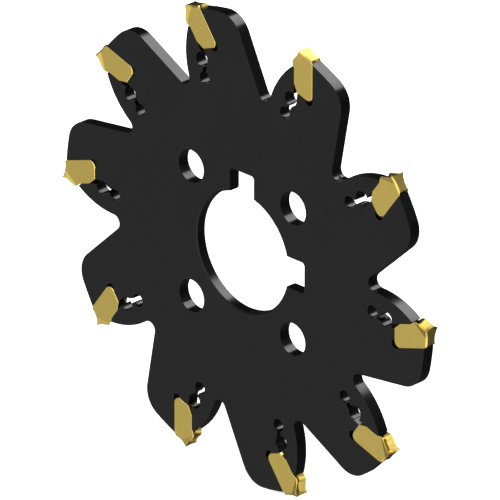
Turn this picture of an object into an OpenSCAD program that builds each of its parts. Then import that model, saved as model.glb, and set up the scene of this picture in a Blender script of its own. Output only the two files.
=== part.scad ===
// Indexable disc milling cutter: a thin keyed disc whose teeth each grip one gold-coated
// grooving insert between a fixed seat and a springy clamp finger sawn out of the disc.
//
// The cutter stands upright. The bore's axis is Y, the front face looks along -Y, one keyway
// points up (+Z) and the other to the right (+X). Seen from the front it turns anticlockwise.
//
// Each tooth is drawn flat in its own frame: x runs clockwise across the tooth, y runs
// outward along its radius, z comes out of the front face, and the cutting tip is at
// [0, tip_r]. A second frame follows the insert's rail: w runs across the insert from the
// clamp finger to the seat, and s runs outward along the rail from the cutting tip.

/* [Cutter] */
// Cutting diameter over the insert tips
cut_d = 160; // [150:1:220]
// Number of teeth
teeth = 10; // [8:1:10]
// Angle of the first tooth, anticlockwise from the right-hand keyway
first_tooth = 72; // [0:1:90]
// Thickness of the disc, of the clamp fingers and of the insert shanks
body_w = 4; // [3:0.1:6]
// How far the lands behind the inserts lie below the cutting circle
land_drop = 1.1; // [0.6:0.1:2]

/* [Arbor] */
// Bore diameter
bore_d = 40; // [27:0.1:44]
// Chamfer on both rims of the bore
bore_chamfer = 0.4; // [0.2:0.1:0.8]
// Width of both keyways
keyway_w = 10.5; // [6:0.1:12]
// Distance from the bore's centre to a keyway's floor
keyway_floor = 27.3; // [25:0.1:28]
// Corner radius at a keyway's floor
keyway_corner = 1.2; // [0.5:0.1:2]
// Diameter of the four driving holes
drive_hole_d = 11; // [6:0.1:13]
// Pitch circle diameter of the driving holes
drive_pcd = 63; // [60:0.5:70]

/* [Tooth] */
// Depth of the gullet's centre below the cutting circle
gullet_depth = 22.8; // [21:0.1:26]
// Radius of the gullet's floor
gullet_r = 2.5; // [1.5:0.1:3]
// Lean of the tooth's back from the tooth's radius
back_lean = 7.6; // [4:0.1:12]
// Radius that joins the land to the tooth's back
shoulder_r = 8.5; // [5:0.1:10]
// Diameter of the coolant outlet in the gullet's floor
outlet_d = 0.8; // [0.6:0.1:1.2]
// Drilled depth of the coolant outlet
outlet_depth = 5; // [3:0.5:8]

/* [Clamp finger] */
// Distance from the tooth's radius to the finger's back at its root
finger_back_x = 5.7; // [5:0.1:7]
// Radius of the finger's curved back
finger_back_r = 29; // [25:0.5:35]
// Gap between the finger's nose and the insert's head
nose_gap = 0.6; // [0.3:0.05:0.8]
// Width of the slot behind the insert
slot_w = 1.5; // [1:0.1:1.8]
// Diameter of the hole that the spreading key enters
key_hole_d = 5; // [4:0.1:5.4]
// Width of the saw cut between the two holes
saw_w = 1.6; // [1:0.1:2]
// Diameter of the relief hole at the end of the saw cut
end_hole_d = 4.2; // [3:0.1:4.6]

/* [Insert] */
// Width of the cutting edge
edge_w = 5; // [4.6:0.1:7]
// Height of the insert between the clamp finger and the seat
insert_h = 7.9; // [6.5:0.1:9.5]
// Depth of the insert's rear stop face below the cutting tip
insert_depth = 14.3; // [13:0.1:15]
// Lean of the insert's rail from the tooth's radius
rail_tilt = 18; // [14:1:20]
// Height of the vee rails that the insert straddles
vee_h = 0.8; // [0.5:0.1:1]
// Flat shoulder on each side of a vee rail
vee_shoulder = 0.1; // [0.05:0.05:0.4]
// Radius of the insert's rear corner on the seat side
rear_r = 2.3; // [1.5:0.1:2.6]
// Radius of the relief notch in the pocket's inner corner
notch_r = 1.55; // [1:0.05:1.8]

/* [Hidden] */
$fn = 96;
tip_r = cut_d / 2;
land_r = tip_r - land_drop;
pitch = 360 / teeth;
through = 3 * body_w;

// The insert's rail crosses the tooth's radius so that the tip lies this far from the finger
tip_lead = 2.27;
// The insert's flank falls away behind the tip in two steps, to the relief point and the heel
relief_x = 3;
relief_drop = 0.38;
heel_x = 5.5;
heel_drop = 0.5;
// Depth below the tip of the seat line's outer end, from which a chamfer runs to the heel
seat_end = 1.4;
// How far the chamfer at the insert's rear finger-side corner reaches up the rail
rear_chamfer = 2.7;
// How far up the rail from that chamfer the finger's vee starts
vee_lead = 0.3;
// The head's lower corner, where it passes the finger's nose
head_foot = [-1.05, -6.2];
// The wavy chip-forming rake face, from the head's foot up to the tip
rake = [[-1.45, -5.4], [-1.35, -4.7], [-0.95, -4], [-0.9, -3.4], [-0.2, -2.4], [0.15, -1.4]];
// Side relief reaches this far down the rake face from the tip
relief_depth = 4.4;
// Chip groove down the middle of the rake face: its depth at the tip, its length, the
// slope of its floor and the half-angle of its vee
chip_groove_h = 0.3;
chip_groove_l = 4.6;
chip_groove_tilt = 4;
chip_groove_half = 62;
// How far along its rail the finger's nose ends below the tip, at the insert
nose_s = -7.55;
// Slope of the finger's nose away from the head
nose_slope = 46;
// Places of the key hole and of the end hole, from the cutting tip
key_hole = [1.96, -17.6];
end_hole = [1.3, -23.5];
// Slope of the jet from the coolant outlet to the cutting tip
jet_tilt = atan((finger_back_x + gullet_r * 0.56) / (gullet_depth + gullet_r));

// The gullet's centre, and the neighbouring tooth's back that touches its floor
gullet = [-finger_back_x - gullet_r, tip_r - gullet_depth];
back_angle = back_lean + pitch;
back_normal = [cos(back_angle), sin(back_angle)];
back_dir = [-sin(back_angle), cos(back_angle)];
back_offset = gullet * back_normal - gullet_r;

function two_digits(n) = n < 10 ? str("0", n) : str(n);
function finger_name(i) = str("clamp_finger_", two_digits(i + 1));
function insert_name(i) = str("insert_", two_digits(i + 1));
function tooth_angle(i) = first_tooth - i * pitch;

// A point of the tooth's frame, from its place across and along the rail
function rail(w, s) = [
    (w - tip_lead) * cos(rail_tilt) - s * sin(rail_tilt),
    tip_r + (w - tip_lead) * sin(rail_tilt) + s * cos(rail_tilt)
];

// The point at a depth below the tip on the line that runs w across the rail
function rail_at_depth(w, depth) = [
    (w - tip_lead + depth * sin(rail_tilt)) / cos(rail_tilt),
    tip_r - depth
];

function from_tip(p) = [p[0], tip_r + p[1]];

// Turns the flat drawing upright
module upright() {
    rotate([90, 0, 0])
        children();
}

// Places a tooth's parts on the disc
module at_tooth(i) {
    rotate([0, 0, tooth_angle(i) - 90])
        children();
}

module every_tooth() {
    for (i = [0 : teeth - 1])
        at_tooth(i)
            children();
}

// A flat outline given thickness about the disc's mid-plane
module slab(thickness) {
    linear_extrude(height = thickness, center = true)
        children();
}

// A straight prism along the rail, drawn across the disc's thickness and across the rail
module along_rail(s_from, s_to) {
    translate(concat(rail(0, s_from), [0]))
        rotate([0, -90, rail_tilt - 90])
            linear_extrude(height = s_to - s_from)
                children();
}

// A round hole through the disc at a point of the tooth's frame
module hole(p, r) {
    translate([p[0], p[1], 0])
        cylinder(h = through, r = r, center = true);
}

// A vee rail's section, with its ridge in the mid-plane and its root sunk below the face
module vee_section() {
    grow = 1 + vee_shoulder / body_w;
    half = grow * (body_w / 2 - vee_shoulder);
    polygon([[-half, (1 - grow) * vee_h], [half, (1 - grow) * vee_h], [0, vee_h]]);
}

// The vee ridge on the seat, or the groove that straddles it
module seat_vee(s_from, s_to) {
    along_rail(s_from, s_to)
        translate([0, insert_h])
            mirror([0, 1])
                vee_section();
}

// The vee ridge under the clamp finger, or the groove that straddles it
module finger_vee(s_from, s_to) {
    along_rail(s_from, s_to)
        vee_section();
}

// ---- the disc ----

// The open space of one tooth: the gullet, the finger's place and the insert's pocket
module tooth_space() {
    floor_point = gullet - gullet_r * back_normal;
    polygon([
        floor_point,
        floor_point + cut_d * back_dir,
        rail(insert_h, tip_r),
        rail(insert_h, rail_s(notch_centre())),
        notch_centre(),
        [notch_centre()[0], tip_r - insert_depth],
        rail_at_depth(slot_w, insert_depth),
        from_tip(key_hole + 0.48 * key_hole_d * [cos(rail_tilt), sin(rail_tilt)]),
        from_tip(key_hole),
        [end_hole[0], gullet[1]],
        [-finger_back_x, gullet[1]],
        gullet
    ]);
}

// Distance along the rail of a point in the tooth's frame
function rail_s(p) = -p[0] * sin(rail_tilt) + (p[1] - tip_r) * cos(rail_tilt);

// The relief notch undercuts both the seat and the stop face
function notch_centre() = rail_at_depth(insert_h - notch_r + 0.15, insert_depth - notch_r / 2);

// The saw cut between the key hole and the end hole
module saw_cut() {
    top = from_tip(key_hole + [0.8, -1]);
    bottom = from_tip(end_hole);
    across = [cos(rail_tilt), -sin(rail_tilt) / 1.5] * saw_w / 2;
    slab(through)
        polygon([bottom - across, bottom + across, top + across, top - across]);
}

// The rounded shoulder between a tooth's land and its back
module shoulder_cut() {
    lean = [cos(back_lean), sin(back_lean)];
    up = [-sin(back_lean), cos(back_lean)];
    inset = back_offset - shoulder_r;
    rise = sqrt(pow(land_r - shoulder_r, 2) - pow(inset, 2));
    centre = inset * lean + rise * up;
    back_point = centre + shoulder_r * lean;
    land_point = centre * land_r / norm(centre);
    difference() {
        slab(through)
            polygon([centre, back_point, back_point + 2 * shoulder_r * up, 1.1 * land_point, land_point]);
        hole(centre, shoulder_r);
    }
}

// The coolant outlet, aimed from the gullet's floor at the cutting tip
module coolant_outlet() {
    run = (gullet_depth + gullet_r) / cos(jet_tilt) + outlet_depth;
    reach = gullet_r + outlet_depth;
    translate([0, tip_r, 0])
        rotate([90, 0, -jet_tilt])
            translate([0, 0, run - reach])
                cylinder(h = reach, d = outlet_d);
}

// One keyway, pointing along +Y before it is turned
module keyway() {
    corner_y = keyway_floor - keyway_corner;
    corner_x = keyway_w / 2 - keyway_corner;
    slab(through)
        polygon([
            [-keyway_w / 2, 0],
            [keyway_w / 2, 0],
            [keyway_w / 2, corner_y],
            [corner_x, corner_y],
            [corner_x, keyway_floor],
            [-corner_x, keyway_floor],
            [-corner_x, corner_y],
            [-keyway_w / 2, corner_y]
        ]);
    for (side = [-1, 1])
        hole([side * corner_x, corner_y], keyway_corner);
}

// The bore with a chamfer on each rim
module bore() {
    cylinder(h = through, d = bore_d, center = true, $fn = 180);
    for (side = [0, 1])
        mirror([0, 0, side])
            translate([0, 0, body_w / 2 - bore_chamfer])
                cylinder(
                    h = 2 * bore_chamfer,
                    r1 = bore_d / 2,
                    r2 = bore_d / 2 + 2 * bore_chamfer,
                    $fn = 180
                );
}

module cutter_disc() {
    seat_from = rail_s(rail_at_depth(insert_h, insert_depth));
    color([0.16, 0.16, 0.165])
        upright()
            difference() {
                union() {
                    difference() {
                        cylinder(h = body_w, r = land_r, center = true, $fn = 180);
                        every_tooth()
                            slab(through)
                                tooth_space();
                    }
                    intersection() {
                        cylinder(h = body_w, r = land_r, center = true, $fn = 180);
                        every_tooth()
                            seat_vee(seat_from, 0);
                    }
                }
                every_tooth() {
                    hole(gullet, gullet_r);
                    hole(notch_centre(), notch_r);
                    hole(from_tip(key_hole), key_hole_d / 2);
                    hole(from_tip(end_hole), end_hole_d / 2);
                    saw_cut();
                    shoulder_cut();
                    coolant_outlet();
                }
                bore();
                keyway();
                rotate([0, 0, -90])
                    keyway();
                for (turn = [45 : 90 : 315])
                    rotate([0, 0, turn])
                        hole([drive_pcd / 2, 0], drive_hole_d / 2);
            }
}

// ---- the clamp fingers ----

// The finger's outline before its back is rounded and the holes are cut
module finger_strip() {
    nose = rail(0, nose_s);
    away = [-cos(nose_slope), sin(nose_slope)];
    polygon([
        [-2 * finger_back_x, gullet[1]],
        [end_hole[0], gullet[1]],
        from_tip(key_hole),
        rail(0, rail_s(from_tip(key_hole))),
        nose,
        nose + 2 * finger_back_x * away,
        [-2 * finger_back_x, tip_r - insert_h]
    ]);
}

module clamp_finger(i) {
    color([0.18, 0.18, 0.185])
        upright()
            at_tooth(i)
                difference() {
                    union() {
                        intersection() {
                            slab(body_w)
                                finger_strip();
                            hole([finger_back_r - finger_back_x, gullet[1]], finger_back_r);
                        }
                        finger_vee(-insert_depth + rear_chamfer + vee_lead, nose_s - 0.1);
                    }
                    hole(from_tip(key_hole), key_hole_d / 2);
                    hole(from_tip(end_hole), end_hole_d / 2);
                    saw_cut();
                }
}

// ---- the inserts ----

// The insert's side view: rear stop, seat line, heel, two-step flank, rake face and finger line
module insert_outline() {
    corner = rail_at_depth(insert_h - rear_r, insert_depth - rear_r);
    turn = (90 + rail_tilt) / 9;
    polygon(concat(
        [rail_at_depth(slot_w, insert_depth)],
        [for (a = [-90 : turn : rail_tilt + 0.1]) corner + rear_r * [cos(a), sin(a)]],
        [
            rail_at_depth(insert_h, seat_end),
            from_tip([heel_x, -heel_drop]),
            from_tip([relief_x, -relief_drop]),
            from_tip([0, 0])
        ],
        [for (k = [len(rake) - 1 : -1 : 0]) from_tip(rake[k])],
        [
            from_tip(head_foot),
            rail(0, nose_s + nose_gap),
            rail(0, -insert_depth + rear_chamfer)
        ]
    ));
}

// A wedge on one side of the head, flush with the shank along the relief line and as
// wide as the cutting edge at the tip
module side_relief() {
    top = [relief_x, -relief_drop];
    foot = [0, -relief_depth];
    turn = atan2(top[1] - foot[1], top[0] - foot[0]);
    reach = relief_depth * cos(turn);
    rise = (edge_w - body_w) / 2;
    translate([foot[0], tip_r + foot[1], 0])
        rotate([0, 0, turn])
            translate([-relief_depth, 0, 0])
                rotate([90, 0, 90])
                    linear_extrude(height = 3 * relief_depth)
                        polygon([
                            [-reach, 0],
                            [-reach, body_w / 2 - rise],
                            [2 * reach, body_w / 2 + 2 * rise],
                            [2 * reach, 0]
                        ]);
}

// The groove that runs down the middle of the rake face and curls the chip
module chip_groove() {
    start = from_tip([chip_groove_h, 0]);
    reach = 4 * chip_groove_h + 1;
    half = reach * tan(chip_groove_half);
    translate([start[0], start[1], 0])
        rotate([0, -90, -90 - chip_groove_tilt])
            translate([0, 0, -chip_groove_l])
                linear_extrude(height = chip_groove_l + 1)
                    polygon([[-half, -reach], [half, -reach], [0, 0]]);
}

module cutting_insert(i) {
    color([0.72, 0.6, 0.27])
        upright()
            at_tooth(i)
                difference() {
                    union() {
                        slab(body_w)
                            insert_outline();
                        intersection() {
                            slab(edge_w)
                                insert_outline();
                            for (side = [0, 1])
                                mirror([0, 0, side])
                                    side_relief();
                        }
                    }
                    seat_vee(-1.5 * insert_depth, insert_depth);
                    finger_vee(-1.5 * insert_depth, nose_s + nose_gap / 2);
                    chip_groove();
                }
}

cutter_disc();
for (i = [0 : teeth - 1])
    clamp_finger(i);
for (i = [0 : teeth - 1])
    cutting_insert(i);
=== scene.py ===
"""Disc milling cutter: finishes, finely shaped inserts and a studio around the CAD frame."""

from math import cos, radians, sin

import bmesh
import bpy
from bpy.props import FloatProperty, FloatVectorProperty, IntProperty, PointerProperty
from mathutils import Matrix, Vector


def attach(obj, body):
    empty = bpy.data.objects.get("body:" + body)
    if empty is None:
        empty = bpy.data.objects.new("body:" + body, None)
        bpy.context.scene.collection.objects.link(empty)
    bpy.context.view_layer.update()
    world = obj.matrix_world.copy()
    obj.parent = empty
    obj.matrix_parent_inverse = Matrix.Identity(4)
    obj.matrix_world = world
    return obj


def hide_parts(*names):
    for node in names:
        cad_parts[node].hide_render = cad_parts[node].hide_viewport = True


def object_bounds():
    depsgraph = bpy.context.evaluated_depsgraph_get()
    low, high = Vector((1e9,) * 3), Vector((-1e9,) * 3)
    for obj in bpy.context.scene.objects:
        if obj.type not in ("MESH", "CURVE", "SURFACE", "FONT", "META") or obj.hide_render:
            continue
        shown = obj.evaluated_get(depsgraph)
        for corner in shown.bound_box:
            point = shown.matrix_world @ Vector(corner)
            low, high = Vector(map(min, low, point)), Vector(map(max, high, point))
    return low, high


bl_info = {
    "name": "Disc milling cutter",
    "version": (1, 0, 0),
    "blender": (4, 5, 0),
    "location": "3D View > Sidebar > Cutter",
    "description": "Blackened disc, gold-coated grooving inserts and a plain studio",
    "category": "Object",
}

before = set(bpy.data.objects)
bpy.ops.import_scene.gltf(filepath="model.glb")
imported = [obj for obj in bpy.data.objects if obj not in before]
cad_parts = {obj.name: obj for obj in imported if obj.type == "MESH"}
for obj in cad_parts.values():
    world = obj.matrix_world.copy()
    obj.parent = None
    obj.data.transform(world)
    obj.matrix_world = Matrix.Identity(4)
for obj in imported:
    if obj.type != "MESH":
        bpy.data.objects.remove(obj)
CAD_BOX = [list(corner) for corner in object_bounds()]

MM = 0.001
TEETH = sorted(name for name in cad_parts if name.startswith("insert_"))
FINGERS = sorted(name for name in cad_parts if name.startswith("clamp_finger_"))
TIP_R = CAD_BOX[1][0] / MM
FIRST_TOOTH = 72
PITCH = 360 / len(TEETH)


# ---- settings ----


class CutterSizes(bpy.types.PropertyGroup):
    """Sizes of one insert, in millimetres, in the tooth's own frame"""

    insert_height: FloatProperty(
        name="Insert height", description="From the clamp finger to the seat", default=7.9
    )
    insert_depth: FloatProperty(
        name="Insert depth", description="From the tip to the rear stop face", default=14.3
    )
    rail_tilt: FloatProperty(
        name="Rail tilt",
        description="Lean of the insert's rails from the tooth's radius",
        default=radians(18),
        subtype="ANGLE",
    )
    tip_lead: FloatProperty(
        name="Tip lead",
        description="From the finger's line to the tip, across the rail",
        default=2.27,
    )
    shank_half: FloatProperty(
        name="Shank half width", description="Half the thickness of the shank", default=2.0
    )
    edge_half: FloatProperty(
        name="Edge half width", description="Half the width of the cutting edge", default=2.5
    )
    relief_depth: FloatProperty(
        name="Side relief depth",
        description="From the tip down to the relief facet's foot",
        default=4.4,
    )
    vee_depth: FloatProperty(
        name="Vee depth", description="Depth of the grooves that ride on the rails", default=0.82
    )
    vee_half: FloatProperty(
        name="Vee half width", description="Half the width of the rail grooves", default=1.92
    )
    edge_band: FloatProperty(
        name="Edge band", description="Width of the chamfer along the seat", default=0.16
    )
    rail_band: FloatProperty(
        name="Rail band", description="Width of the chamfer along the clamp finger", default=0.08
    )
    flank_band: FloatProperty(
        name="Flank band", description="Width of the chamfer along the flank", default=0.5
    )
    rim_band: FloatProperty(
        name="Rake rim",
        description="Full width that the rake rim's shares are taken from",
        default=0.8,
    )


class CutterFinish(bpy.types.PropertyGroup):
    """Colours and surface finish of the disc and the inserts"""

    oxide: FloatVectorProperty(
        name="Black oxide", description="Colour of the blackened steel",
        default=(0.0025, 0.0025, 0.0027), subtype="COLOR",
    )
    oxide_worn: FloatVectorProperty(
        name="Worn oxide", description="Colour where the oxide is rubbed thin",
        default=(0.005, 0.005, 0.0053), subtype="COLOR",
    )
    # Painted shade in part: the walls' darker colour stands in for the shade they catch, as well as
    # for their cut finish
    wall_oxide_and_shade: FloatVectorProperty(
        name="Cut walls", description="Colour of the oxide on the milled walls",
        default=(0.0004, 0.0004, 0.0004), subtype="COLOR",
    )
    gold: FloatVectorProperty(
        name="Gold coating", description="Colour of the nitride coating",
        default=(0.76, 0.575, 0.142), subtype="COLOR",
    )
    gold_deep: FloatVectorProperty(
        name="Deep gold", description="Colour of the coating where it is thicker",
        default=(0.7, 0.52, 0.12), subtype="COLOR",
    )
    face_roughness: FloatProperty(
        name="Face roughness", description="Roughness of the ground faces", default=0.36,
        min=0, max=1, subtype="FACTOR",
    )
    wall_roughness: FloatProperty(
        name="Wall roughness", description="Roughness of the cut walls", default=0.2,
        min=0, max=1, subtype="FACTOR",
    )
    gold_roughness: FloatProperty(
        name="Coating roughness", description="Roughness of the gold coating", default=0.22,
        min=0, max=1, subtype="FACTOR",
    )


class CutterStage(bpy.types.PropertyGroup):
    """The camera, the floor and the lights"""

    azimuth: FloatProperty(
        name="Azimuth", description="The camera's turn to the right of the front",
        default=radians(45.1), subtype="ANGLE",
    )
    elevation: FloatProperty(
        name="Elevation", description="The camera's height above the horizon",
        default=radians(25.04), subtype="ANGLE",
    )
    distance: FloatProperty(
        name="Distance", description="From the camera to the middle of the front face",
        default=2.367, unit="LENGTH",
    )
    lens: FloatProperty(name="Lens", description="Focal length in millimetres", default=549.1)
    shift: FloatVectorProperty(
        name="Shift", description="Sideways and upward shift of the view", size=2,
        default=(0.0164, 0.005),
    )
    floor_size: FloatProperty(
        name="Floor size", description="Width of the floor", default=16, unit="LENGTH"
    )
    floor_steps: IntProperty(name="Floor grid", description="Squares along the floor", default=8)
    key_power: FloatProperty(
        name="Key light", description="Power of the soft light above and behind",
        default=8, unit="POWER",
    )
    key_size: FloatProperty(
        name="Key size", description="Width of the soft light", default=0.72, unit="LENGTH"
    )
    coating_share: FloatProperty(
        name="Key on the coating", description="Share of the key light that the inserts get",
        default=0.3, min=0, max=1, subtype="FACTOR",
    )
    sky: FloatProperty(
        name="Sky", description="Strength of the plain light from all round", default=1.0
    )


# ---- small helpers for node trees ----


def new_material(name):
    """An empty material with its Principled shader wired to the output."""
    material = bpy.data.materials.new(name)
    material.use_nodes = True
    tree = material.node_tree
    tree.nodes.clear()
    shader = tree.nodes.new("ShaderNodeBsdfPrincipled")
    output = tree.nodes.new("ShaderNodeOutputMaterial")
    tree.links.new(shader.outputs["BSDF"], output.inputs["Surface"])
    return material, tree, shader


def add_node(tree, kind, settings=None, **sockets):
    """A node whose sockets are filled with values or fed by other nodes' outputs.

    A socket is given by its name, or as i and its number.
    """
    made = tree.nodes.new("ShaderNode" + kind)
    for key, value in (settings or {}).items():
        setattr(made, key, value)
    for key, value in sockets.items():
        numbered = key[0] == "i" and key[1:].isdigit()
        socket = made.inputs[int(key[1:]) if numbered else key]
        if isinstance(value, bpy.types.NodeSocket):
            tree.links.new(value, socket)
        else:
            socket.default_value = value
    return made


def calc(tree, operation, *values):
    """The output of a Math node."""
    keys = {f"i{k}": value for k, value in enumerate(values)}
    return add_node(tree, "Math", {"operation": operation}, **keys).outputs[0]


def ramp(tree, value, low, high, out_low=0.0, out_high=1.0):
    """value, from low to high, turned smoothly into out_low to out_high."""
    made = add_node(
        tree, "MapRange", {"interpolation_type": "SMOOTHSTEP"},
        i0=value, i1=low, i2=high, i3=out_low, i4=out_high,
    )
    return made.outputs[0]


def blend_colour(tree, factor, first, second):
    """Two colours mixed by a factor from 0 to 1."""
    made = add_node(tree, "Mix", {"data_type": "RGBA"}, i0=factor)
    for socket, value in ((made.inputs[6], first), (made.inputs[7], second)):
        if isinstance(value, bpy.types.NodeSocket):
            tree.links.new(value, socket)
        else:
            socket.default_value = (*value, 1)
    return made.outputs[2]


def noise(tree, place, scale, detail=3.0, roughness=0.5):
    """Plain noise, from 0 to 1."""
    made = add_node(tree, "TexNoise", Vector=place, Scale=scale, Detail=detail, Roughness=roughness)
    return made.outputs[0]


def stretched(tree, place, across, out, through):
    """A place whose three axes are scaled apart, for grain that runs one way."""
    return add_node(
        tree, "Mapping", {"vector_type": "POINT"}, Vector=place, Scale=(across, out, through)
    ).outputs[0]


def bump(tree, height, depth):
    """A bump whose full height is depth metres, at half strength."""
    return add_node(tree, "Bump", Height=height, Distance=depth, Strength=0.5).outputs[0]


# ---- finishes ----

# Height of the surface grain, in metres
OXIDE_RELIEF = 0.000006
COATING_RELIEF = 0.0000015
# Colour of the coating along its grinding lines
RUBBED_GOLD = (0.78, 0.6, 0.2)


def black_oxide(finish):
    """Blackened tool steel: satin ground faces with fine circular lay; darker milled walls, their
    colour partly a cut finish and partly painted shade.
    """
    material, tree, shader = new_material("black_oxide_steel")
    place = add_node(tree, "TexCoord")
    spot, facing = place.outputs["Object"], place.outputs["Normal"]
    across, _, up = add_node(tree, "SeparateXYZ", i0=spot).outputs
    frontal = calc(tree, "ABSOLUTE", add_node(tree, "SeparateXYZ", i0=facing).outputs[1])
    face = ramp(tree, frontal, 0.55, 0.85)
    radius = calc(
        tree, "SQRT", calc(tree, "ADD", calc(tree, "MULTIPLY", across, across),
                           calc(tree, "MULTIPLY", up, up))
    )
    rings = calc(tree, "MULTIPLY", radius, 14.0)
    lay_place = add_node(tree, "CombineXYZ", i0=rings, i1=across, i2=up)
    lay = noise(tree, lay_place.outputs[0], 300.0, 4.0, 0.7)
    cloud = noise(tree, spot, 38.0, 4.0, 0.55)
    grain = noise(tree, spot, 3600.0, 2.0, 0.6)
    streaks = noise(tree, stretched(tree, spot, 500.0, 3000.0, 500.0), 1.0, 3.0, 0.6)

    worn = calc(tree, "MULTIPLY", ramp(tree, cloud, 0.42, 0.72), ramp(tree, lay, 0.35, 0.75))
    face_colour = blend_colour(tree, worn, finish.oxide, finish.oxide_worn)
    # Painted shade in part: the walls are coloured darker than the faces to stand in for the dim
    # light they catch, on top of their own streaky cut finish
    wall_colour_and_shade = blend_colour(
        tree, ramp(tree, streaks, 0.4, 0.7, 0.0, 0.5), finish.wall_oxide_and_shade, finish.oxide
    )
    tree.links.new(blend_colour(tree, face, wall_colour_and_shade, face_colour), shader.inputs["Base Color"])

    face_rough = calc(
        tree, "ADD", finish.face_roughness,
        calc(tree, "ADD", ramp(tree, lay, 0.3, 0.7, -0.035, 0.035),
             ramp(tree, cloud, 0.3, 0.7, -0.03, 0.03)),
    )
    wall_rough = calc(
        tree, "ADD", finish.wall_roughness, ramp(tree, streaks, 0.3, 0.7, -0.03, 0.05)
    )
    roughness = add_node(tree, "Mix", {"data_type": "FLOAT"}, i0=face, i2=wall_rough, i3=face_rough)
    tree.links.new(roughness.outputs[0], shader.inputs["Roughness"])

    marks = add_node(tree, "Mix", {"data_type": "FLOAT"}, i0=face, i2=streaks, i3=lay)
    height = calc(
        tree, "ADD", calc(tree, "MULTIPLY", grain, 0.45),
        calc(tree, "MULTIPLY", marks.outputs[0], 0.55),
    )
    tree.links.new(bump(tree, height, OXIDE_RELIEF), shader.inputs["Normal"])
    shader.inputs["Specular IOR Level"].default_value = 0.25
    shader.inputs["IOR"].default_value = 1.5
    return material


def gold_coating(finish):
    """Nitride coating on ground carbide: warm gold metal with faint grinding lines."""
    material, tree, shader = new_material("gold_nitride")
    spot = add_node(tree, "TexCoord").outputs["Object"]
    tint = noise(tree, spot, 260.0, 4.0, 0.6)
    lines = noise(tree, stretched(tree, spot, 5200.0, 900.0, 1500.0), 1.0, 2.0, 0.5)
    grain = noise(tree, spot, 5200.0, 3.0, 0.6)
    colour = blend_colour(tree, ramp(tree, tint, 0.3, 0.72, 0.0, 0.4), finish.gold, finish.gold_deep)
    bright = blend_colour(tree, ramp(tree, lines, 0.35, 0.75, 0.0, 0.1), colour, RUBBED_GOLD)
    tree.links.new(bright, shader.inputs["Base Color"])
    roughness = calc(
        tree, "ADD", finish.gold_roughness,
        calc(tree, "ADD", ramp(tree, lines, 0.3, 0.7, -0.03, 0.03),
             ramp(tree, tint, 0.3, 0.7, -0.03, 0.03)),
    )
    tree.links.new(roughness, shader.inputs["Roughness"])
    height = calc(
        tree, "ADD", calc(tree, "MULTIPLY", grain, 0.5), calc(tree, "MULTIPLY", lines, 0.5)
    )
    tree.links.new(bump(tree, height, COATING_RELIEF), shader.inputs["Normal"])
    shader.inputs["Metallic"].default_value = 1.0
    return material


def give(piece, *materials):
    """Puts these materials in a piece's slots."""
    for index, material in enumerate(materials):
        if index < len(piece.data.materials):
            piece.data.materials[index] = material
        else:
            piece.data.materials.append(material)


# ---- the insert's shape ----


# The two steps in which the flank falls away behind the tip: across, out from the tip
RELIEF_POINT = Vector((3.0, -0.38))
HEEL = Vector((5.5, -0.5))
# Across the rail, where the stop face begins beside the saw cut
SLOT_LINE = 1.5
# Depth below the tip of the seat line's outer end
SEAT_END = 1.4
# Radius of the corner between the seat line and the stop face
REAR_CORNER_R = 2.3
# How far up the finger line the rear chamfer reaches from the insert's depth
REAR_CHAMFER = 2.7
# Along the rail, where the head starts beyond the clamp finger's nose
HEAD_START = -6.95
# Length of plain finger line at each end of its groove, and of the step down into the groove
PLAIN_LEAD = 0.3
GROOVE_STEP = 0.01
# Along the rail, a station halfway down the groove
GROOVE_MIDDLE = -9
# Edges sharper than this stay crisp
CRISP_ANGLE = radians(20)


class Rails:
    """Turns places across and along the insert's rail into the tooth's frame, and back."""

    def __init__(self, sizes):
        self.c, self.s = cos(sizes.rail_tilt), sin(sizes.rail_tilt)
        self.lead = sizes.tip_lead

    def point(self, w, s):
        """The tooth's frame from w across and s along the rail."""
        return Vector(((w - self.lead) * self.c - s * self.s, (w - self.lead) * self.s + s * self.c))

    def place(self, p):
        """Across and along the rail from the tooth's frame."""
        return p.x * self.c + p.y * self.s + self.lead, -p.x * self.s + p.y * self.c

    def at_depth(self, w, depth):
        """The point w across the rail that lies at this depth below the tip."""
        return Vector(((w - self.lead + depth * self.s) / self.c, -depth))


def smooth_run(points, steps):
    """A curve through the points, with steps pieces between each two."""
    run = []
    ends = [points[0] * 2 - points[1]] + points + [points[-1] * 2 - points[-2]]
    for k in range(1, len(ends) - 2):
        a, b, c, d = ends[k - 1 : k + 3]
        for step in range(steps):
            t = step / steps
            run.append(
                0.5 * (2 * b + (c - a) * t + (2 * a - 5 * b + 4 * c - d) * t**2
                       + (3 * b - a - 3 * c + d) * t**3)
            )
    return run + [points[-1]]


# The rake face in side view, from the head's foot to the tip: across, out from the tip, and
# the share of the rim's width there
RAKE = (
    (-1.05, -6.2, 0.12),
    (-1.45, -5.4, 0.3),
    (-1.35, -4.7, 0.35),
    (-1.05, -4.0, 0.2),
    (-0.75, -3.3, 0.12),
    (-0.3, -2.4, 0.12),
    (0.05, -1.3, 0.12),
    (0.0, 0.0, 0.12),
)
# Depth of the chip former's valley along the rake face: out from the tip, depth
CHIP_FLOOR = (
    (-6.2, 1.0), (-5.4, 1.2), (-4.7, 1.2), (-4.0, 1.4), (-3.2, 1.35), (-2.2, 1.15),
    (-1.2, 0.85), (-0.5, 0.5), (0.0, 0.25),
)
# Columns from the middle of the insert to its rim, as shares of its half width, and the
# share of the valley's depth at each
COLUMNS = (0.0, 0.3, 0.6, 0.9, 1.0)
CHIP_SHARE = ((0.0, 1.0), (0.9, 0.22), (1.0, 0.0))
# How much of a chamfer's width it takes off the insert's thickness
CHAMFER_SLOPE = 0.8


def between(table, x):
    """The value at x of a table of (x, value) pairs in rising order."""
    for (x0, v0), (x1, v1) in zip(table, table[1:]):
        if x <= x1:
            return v0 + (v1 - v0) * max(0.0, min(1.0, (x - x0) / (x1 - x0)))
    return table[-1][1]


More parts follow.
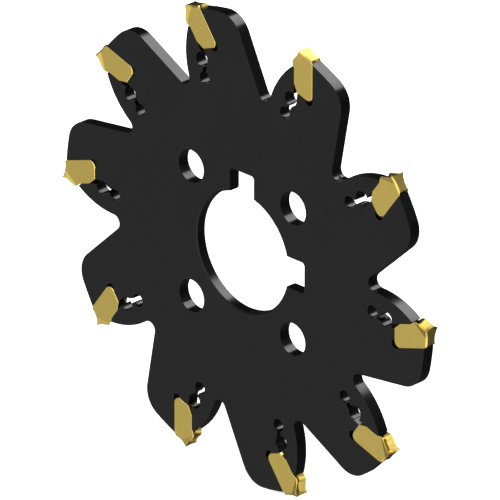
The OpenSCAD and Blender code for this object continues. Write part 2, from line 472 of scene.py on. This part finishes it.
def insert_stations(sizes):
    """The insert's side view as stations: place, rim width, and how the surface sinks there."""
    rails = Rails(sizes)
    band, flank, line = sizes.edge_band, sizes.flank_band, sizes.rail_band
    rear = 0.7 * flank
    height, depth = sizes.insert_height, sizes.insert_depth
    corner = rails.at_depth(height - REAR_CORNER_R, depth - REAR_CORNER_R)
    stations = [(rails.at_depth(SLOT_LINE, depth), rear, "plain")]
    for step in range(10):
        a = radians(-90 + step * 12)
        rim = rear + (band - rear) * min(1.0, step / 5)
        stations.append((corner + REAR_CORNER_R * Vector((cos(a), sin(a))), rim, "seat"))
    seat_end = rails.at_depth(height, SEAT_END)
    for below in (8, 5, 2.5):
        stations.append((rails.at_depth(height, below), band, "seat"))
    stations.append((seat_end, band, "seat"))
    stations.append((seat_end.lerp(HEEL, 0.5), band + 0.06, "seat"))
    stations.append((HEEL, flank, "seat"))
    stations.append((HEEL.lerp(RELIEF_POINT, 0.35), flank, "seat"))
    stations += [(RELIEF_POINT, flank, "plain"), (RELIEF_POINT * 0.5, flank, "plain")]
    rake = smooth_run([Vector((x, y)) for x, y, _ in RAKE], 3)
    rims = [(y, share * sizes.rim_band) for _, y, share in RAKE]
    stations += [(p, between(rims, p.y), "rake") for p in reversed(rake)]
    groove_out, groove_in = HEAD_START - PLAIN_LEAD, REAR_CHAMFER - depth + PLAIN_LEAD
    finger_line = (
        (HEAD_START, "plain"), (groove_out + GROOVE_STEP, "plain"), (groove_out, "finger"),
        (GROOVE_MIDDLE, "finger"), (groove_in, "finger"), (groove_in - GROOVE_STEP, "plain"),
        (REAR_CHAMFER - depth, "plain"),
    )
    stations += [(rails.point(0, along), line, kind) for along, kind in finger_line]
    return stations


def half_width(sizes, p):
    """Half the insert's thickness at a place, and how far that place is into the side relief."""
    foot = Vector((0.0, -sizes.relief_depth))
    along = (RELIEF_POINT - foot).normalized()
    outward = Vector((-along.y, along.x))
    into = (p - foot).dot(outward)
    full = -foot.dot(outward)
    rise = (sizes.edge_half - sizes.shank_half) * into / full
    return sizes.shank_half + max(0.0, rise), into


def sunk(sizes, rails, p, kind, n, limit):
    """The place of a surface point once the rail grooves and the chip former are cut."""
    groove = sizes.vee_depth * max(0.0, 1 - abs(n) / sizes.vee_half)
    w, s = rails.place(p)
    if kind == "seat":
        return rails.point(min(w, sizes.insert_height - groove), s)
    if kind == "finger":
        return rails.point(max(w, groove), s)
    if kind == "rake":
        share = between(CHIP_SHARE, min(1.0, abs(n) / limit))
        return p + Vector((between(CHIP_FLOOR, p.y) * share, 0))
    return p


def inset(before, rim_before, after, rim_after):
    """From an outline's corner to the corner of the line that runs inside it."""
    n1, n2 = Vector((-before.y, before.x)), Vector((-after.y, after.x))
    turn = n1.x * n2.y - n1.y * n2.x
    if abs(turn) < 0.3:
        return (n1 + n2) * (rim_before + rim_after) / (2 + 2 * n1.dot(n2))
    return Vector((rim_before * n2.y - rim_after * n1.y, rim_after * n1.x - rim_before * n2.x)) / turn


def insert_mesh(sizes):
    """One insert in the tooth's frame, with its tip at the origin, in millimetres."""
    rails = Rails(sizes)
    stations = insert_stations(sizes)
    count = len(stations)
    inner, drops = [], []
    for k, (p, rim, _) in enumerate(stations):
        before = (p - stations[k - 1][0]).normalized()
        after = (stations[(k + 1) % count][0] - p).normalized()
        inner.append(p + inset(before, stations[k - 1][1], after, rim))
        drops.append(CHAMFER_SLOPE * min(rim, stations[k - 1][1]))
    # An extra station stands wherever the side relief's crease meets the side face's outline
    rows = []
    for k in range(count):
        following = (k + 1) % count
        p, _, kind = stations[k]
        q, _, kind_q = stations[following]
        rows.append((p, inner[k], drops[k], kind))
        d, e = half_width(sizes, inner[k])[1], half_width(sizes, inner[following])[1]
        if d * e < 0:
            t = d / (d - e)
            rows.append(
                (p.lerp(q, t), inner[k].lerp(inner[following], t),
                 drops[k] + (drops[following] - drops[k]) * t, kind if kind == kind_q else "plain")
            )
    mesh = bmesh.new()
    grid = []
    spread = [-c for c in reversed(COLUMNS)] + list(COLUMNS[1:])
    for p, q, drop, kind in rows:
        edge = half_width(sizes, p)[0] - drop
        face = half_width(sizes, q)[0]
        row = [mesh.verts.new((q.x, q.y, -face))]
        for c in spread:
            place = sunk(sizes, rails, p, kind, c * edge, edge)
            row.append(mesh.verts.new((place.x, place.y, c * edge)))
        row.append(mesh.verts.new((q.x, q.y, face)))
        grid.append(row)
    for row, following in zip(grid, grid[1:] + grid[:1]):
        for j in range(len(row) - 1):
            mesh.faces.new((row[j], following[j], following[j + 1], row[j + 1]))
    depth = [half_width(sizes, q)[1] for _, q, _, _ in rows]
    shank = [k for k, d in enumerate(depth) if d <= 1e-6]
    relief = [k for k, d in enumerate(depth) if d >= -1e-6]
    for side in (0, -1):
        for part in (shank, relief):
            ring = [grid[k][side] for k in part]
            mesh.faces.new(ring if side == -1 else ring[::-1])
    bmesh.ops.recalc_face_normals(mesh, faces=mesh.faces)
    for face in mesh.faces:
        face.smooth = len(face.verts) == 4
    for line in mesh.edges:
        line.smooth = line.calc_face_angle() < CRISP_ANGLE
    return mesh


def tooth_to_world(angle):
    """From the tooth's frame, in millimetres with its tip at the origin, to the row frame."""
    lean = radians(angle)
    across, outward = Vector((sin(lean), 0, -cos(lean))), Vector((cos(lean), 0, sin(lean)))
    front = Vector((0, -1, 0))
    tip = outward * TIP_R * MM
    turn = Matrix((across * MM, outward * MM, front * MM)).transposed().to_4x4()
    return Matrix.Translation(tip) @ turn


# ---- the operators ----


class CUTTER_OT_blacken_disc(bpy.types.Operator):
    """Gives the disc its black oxide finish"""

    bl_idname = "cutter.blacken_disc"
    bl_label = "Blacken the disc"

    def execute(self, context):
        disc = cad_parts["cutter_disc"]
        give(disc, black_oxide(context.scene.cutter_finish))
        bpy.data.collections["lit_steel"].objects.link(disc)
        return {"FINISHED"}


class CUTTER_OT_blacken_fingers(bpy.types.Operator):
    """Gives the clamp fingers the disc's finish, as they are one steel with it"""

    bl_idname = "cutter.blacken_fingers"
    bl_label = "Blacken the clamp fingers"

    def execute(self, context):
        finish = bpy.data.materials["black_oxide_steel"]
        for name in FINGERS:
            give(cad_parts[name], finish)
            bpy.data.collections["lit_steel"].objects.link(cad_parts[name])
        return {"FINISHED"}


class CUTTER_OT_make_inserts(bpy.types.Operator):
    """Shapes the gold-coated grooving inserts and seats one in each pocket"""

    bl_idname = "cutter.make_inserts"
    bl_label = "Make the inserts"

    def execute(self, context):
        sizes, finish = context.scene.cutter_sizes, context.scene.cutter_finish
        coating = gold_coating(finish)
        shape = insert_mesh(sizes)
        for index, name in enumerate(TEETH):
            data = bpy.data.meshes.new(name + "_ground")
            shape.to_mesh(data)
            data.transform(tooth_to_world(FIRST_TOOTH - PITCH * index))
            piece = bpy.data.objects.new(name + "_ground", data)
            context.scene.collection.objects.link(piece)
            give(piece, coating)
            bpy.data.collections["lit_coating"].objects.link(piece)
            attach(piece, name)
            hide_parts(name)
        shape.free()
        return {"FINISHED"}


def look_at(thing, place, target):
    """Puts a lamp or camera at place, pointing at target."""
    thing.location = place
    thing.rotation_euler = (target - place).to_track_quat("-Z", "Y").to_euler()


# The way to the brightest part of the plain light, low in front and to the right
FRONT_LIGHT = (0.46, -0.888, 0.0)
# The plain backdrop's brightness behind the floor
BACKDROP = 1.3
# The key lamps' place above and behind the cutter, in metres, and their height to width
KEY_PLACE = Vector((0.1, 0.641, 0.758)) * 1.1
KEY_ASPECT = 0.6
# The middle of the front face, which the camera looks at, in metres
FACE_MIDDLE = Vector((0, -0.002, 0))
SENSOR_WIDTH = 36


def studio_world(strength):
    """Plain soft light: bright in front and above, quieter behind."""
    world = bpy.data.worlds.new("studio")
    world.use_nodes = True
    tree = world.node_tree
    tree.nodes.clear()
    way = add_node(tree, "TexCoord").outputs["Generated"]
    facing = add_node(tree, "VectorMath", {"operation": "DOT_PRODUCT"}, i0=way, i1=FRONT_LIGHT)
    facing = facing.outputs["Value"]
    across, behind, up = add_node(tree, "SeparateXYZ", i0=way).outputs
    quiet = calc(
        tree, "ADD", ramp(tree, across, -0.6, 0.4, 0.05, 0.14),
        ramp(tree, behind, 0.3, -0.35, 0.0, 0.26),
    )
    front = calc(tree, "MULTIPLY", calc(tree, "MAXIMUM", facing, 0.0), 1.6)
    right = calc(
        tree, "MULTIPLY", ramp(tree, across, 0.0, 0.6, 0.0, 0.3), ramp(tree, up, -0.1, 0.5)
    )
    above = ramp(tree, up, 0.72, 0.96, 0.0, 1.3)
    light = calc(tree, "ADD", calc(tree, "ADD", quiet, front), calc(tree, "ADD", right, above))
    soft = add_node(tree, "Background", Strength=calc(tree, "MULTIPLY", light, strength))
    plain = add_node(tree, "Background", Strength=BACKDROP)
    seen = add_node(tree, "LightPath").outputs["Is Camera Ray"]
    both = add_node(tree, "MixShader", i0=seen, i1=soft.outputs[0], i2=plain.outputs[0])
    output = tree.nodes.new("ShaderNodeOutputWorld")
    tree.links.new(both.outputs[0], output.inputs["Surface"])
    return world


def pale_floor_material():
    """Smooth pale paper that glows, so that shadows on it stay faint."""
    material, tree, shader = new_material("pale_paper")
    place = add_node(tree, "TexCoord").outputs["Object"]
    fibre = noise(tree, place, 9.0, 3.0, 0.5)
    colour = blend_colour(tree, fibre, (0.84, 0.84, 0.84), (0.87, 0.87, 0.87))
    tree.links.new(colour, shader.inputs["Base Color"])
    tree.links.new(colour, shader.inputs["Emission Color"])
    shader.inputs["Roughness"].default_value = 0.9
    shader.inputs["Specular IOR Level"].default_value = 0.1
    shader.inputs["Emission Strength"].default_value = 0.85
    return material


class CUTTER_OT_set_stage(bpy.types.Operator):
    """Sets up the floor, the lights and the camera"""

    bl_idname = "cutter.set_stage"
    bl_label = "Set the stage"

    def execute(self, context):
        stage, scene = context.scene.cutter_stage, context.scene
        scene.view_settings.view_transform = "Standard"
        scene.world = studio_world(stage.sky)

        mesh = bmesh.new()
        bmesh.ops.create_grid(
            mesh, x_segments=stage.floor_steps, y_segments=stage.floor_steps,
            size=stage.floor_size / 2,
        )
        data = bpy.data.meshes.new("floor")
        mesh.to_mesh(data)
        mesh.free()
        floor = bpy.data.objects.new("floor", data)
        floor.location.z = CAD_BOX[0][2]
        scene.collection.objects.link(floor)
        give(floor, pale_floor_material())
        floor.visible_glossy = False

        for name, share in (("steel", 1.0), ("coating", stage.coating_share)):
            lamp = bpy.data.lights.new("key_light_" + name, "AREA")
            lamp.shape = "RECTANGLE"
            lamp.size, lamp.size_y = stage.key_size, stage.key_size * KEY_ASPECT
            lamp.energy = stage.key_power * share
            key = bpy.data.objects.new("key_light_" + name, lamp)
            look_at(key, KEY_PLACE, Vector((0, 0, 0)))
            scene.collection.objects.link(key)
            lit = bpy.data.collections.new("lit_" + name)
            key.light_linking.receiver_collection = lit
        bpy.data.collections["lit_steel"].objects.link(floor)

        way = Vector(
            (
                cos(stage.elevation) * sin(stage.azimuth),
                -cos(stage.elevation) * cos(stage.azimuth),
                sin(stage.elevation),
            )
        )
        lens = bpy.data.cameras.new("camera")
        lens.lens, lens.sensor_width = stage.lens, SENSOR_WIDTH
        lens.shift_x, lens.shift_y = stage.shift
        lens.clip_start, lens.clip_end = 0.05, 50
        camera = bpy.data.objects.new("camera", lens)
        look_at(camera, FACE_MIDDLE + way * stage.distance, FACE_MIDDLE)
        scene.collection.objects.link(camera)
        scene.camera = camera
        return {"FINISHED"}


class CUTTER_PT_panel(bpy.types.Panel):
    """Lists the cutter's steps and settings"""

    bl_label = "Disc milling cutter"
    bl_idname = "CUTTER_PT_panel"
    bl_space_type = "VIEW_3D"
    bl_region_type = "UI"
    bl_category = "Cutter"

    def draw(self, context):
        for step in STEPS:
            self.layout.operator(step.bl_idname)
        for group in ("cutter_sizes", "cutter_finish", "cutter_stage"):
            settings = getattr(context.scene, group)
            for name in settings.bl_rna.properties.keys():
                if name not in ("rna_type", "name"):
                    self.layout.prop(settings, name)


GROUPS = {"cutter_sizes": CutterSizes, "cutter_finish": CutterFinish, "cutter_stage": CutterStage}
STEPS = (
    CUTTER_OT_set_stage,
    CUTTER_OT_blacken_disc,
    CUTTER_OT_blacken_fingers,
    CUTTER_OT_make_inserts,
)


def register():
    for item in (*GROUPS.values(), *STEPS, CUTTER_PT_panel):
        bpy.utils.register_class(item)
    for name, group in GROUPS.items():
        setattr(bpy.types.Scene, name, PointerProperty(type=group))


def unregister():
    for name in GROUPS:
        delattr(bpy.types.Scene, name)
    for item in (CUTTER_PT_panel, *reversed(STEPS), *GROUPS.values()):
        bpy.utils.unregister_class(item)


def main():
    register()
    bpy.ops.cutter.set_stage()
    bpy.ops.cutter.blacken_disc()
    bpy.ops.cutter.blacken_fingers()
    bpy.ops.cutter.make_inserts()
    bpy.context.view_layer.update()


if __name__ == "__main__":
    main()
